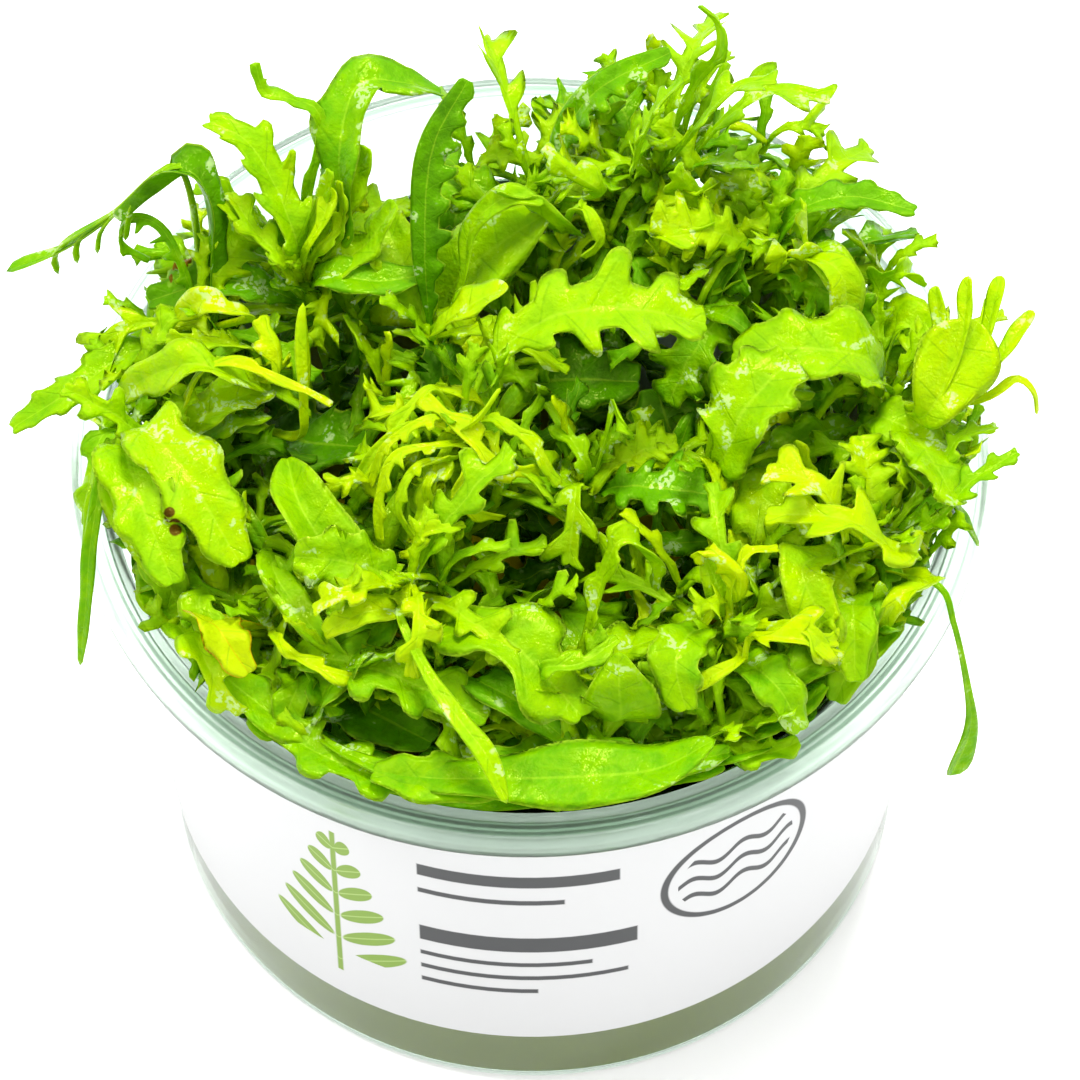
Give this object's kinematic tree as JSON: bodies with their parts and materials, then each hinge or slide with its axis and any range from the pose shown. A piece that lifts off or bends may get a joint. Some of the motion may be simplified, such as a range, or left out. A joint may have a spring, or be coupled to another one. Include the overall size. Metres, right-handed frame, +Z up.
{
  "type": "tissue culture hygrophila odora in cup",
  "caption": "Open clear plastic culture cup with a paper wrap, nutrient gel and a dense heap of young water plants with lobed bright green leaves.",
  "frame": {"origin": "centre of the cup's flat base, on the cup's axis", "axes": "+Z up along the cup's axis, -Y towards the front of the label, +X to its right"},
  "size_m": [0.1125, 0.1003, 0.1013],
  "materials": {
    "clear_plastic": "clear, glossy, faintly mint where it is seen through on edge",
    "paper": "smooth matte white paper, printed",
    "gel": "wet cloudy sage gel",
    "young_green": "tender glossy stem and young leaf",
    "leaf_green": "wet glossy translucent leaf",
    "yellow_leaf": "yellowed leaf with an orange edge"
  },
  "bodies": {
    "root": {"cup": "clear_plastic", "gel": "gel", "label": "paper", "leaf_back_right_dark": "leaf_green", "leaf_back_sail": "leaf_green", "leaf_boat": "leaf_green", "leaf_bright_back": "leaf_green", "leaf_broad_left_front": "leaf_green", "leaf_broad_right": "leaf_green", "leaf_centre_front": "leaf_green", "leaf_curl_back": "leaf_green", "leaf_curl_front": "leaf_green", "leaf_curved_smooth": "leaf_green", "leaf_dangle_right": "leaf_green", "leaf_dark_centre": "leaf_green", "leaf_dark_left": "leaf_green", "leaf_dark_top": "leaf_green", "leaf_drip_front": "leaf_green", "leaf_far_left": "leaf_green", "leaf_fern_right": "leaf_green", "leaf_flag_back": "leaf_green", "leaf_folded_left": "leaf_green", "leaf_front_rim_left": "leaf_green", "leaf_front_rim_right": "leaf_green", "leaf_glossy_front_right": "leaf_green", "leaf_glossy_left": "leaf_green", "leaf_hand_right": "leaf_green", "leaf_hang_left": "leaf_green", "leaf_lance_left": "leaf_green", "leaf_low_front_right": "leaf_green", "leaf_low_right": "leaf_green", "leaf_oak_middle": "leaf_green", "leaf_spatulate": "leaf_green", "leaf_star_front_left": "leaf_green", "leaf_star_right_front": "leaf_green", "leaf_tall_back": "leaf_green", "leaf_tall_dark": "leaf_green", "leaf_tendril_left": "leaf_green", "leaf_triangle_front": "leaf_green", "leaf_under_left": "leaf_green", "leaf_upright_left": "leaf_green", "leaf_wide_right": "leaf_green", "leaf_yellow_left": "yellow_leaf", "leaf_yellow_right": "leaf_green", "shoot_back": "young_green", "shoot_back_left": "young_green", "shoot_back_middle": "young_green", "shoot_back_right": "young_green", "shoot_centre_back": "young_green", "shoot_centre_right": "young_green", "shoot_front": "young_green", "shoot_front_left": "young_green", "shoot_front_right": "young_green", "shoot_left": "young_green", "shoot_left_front": "young_green", "shoot_left_rim": "young_green", "shoot_middle": "young_green", "shoot_middle_left": "young_green", "shoot_right": "young_green", "shoot_right_rim": "young_green"}
  },
  "joints": []
}
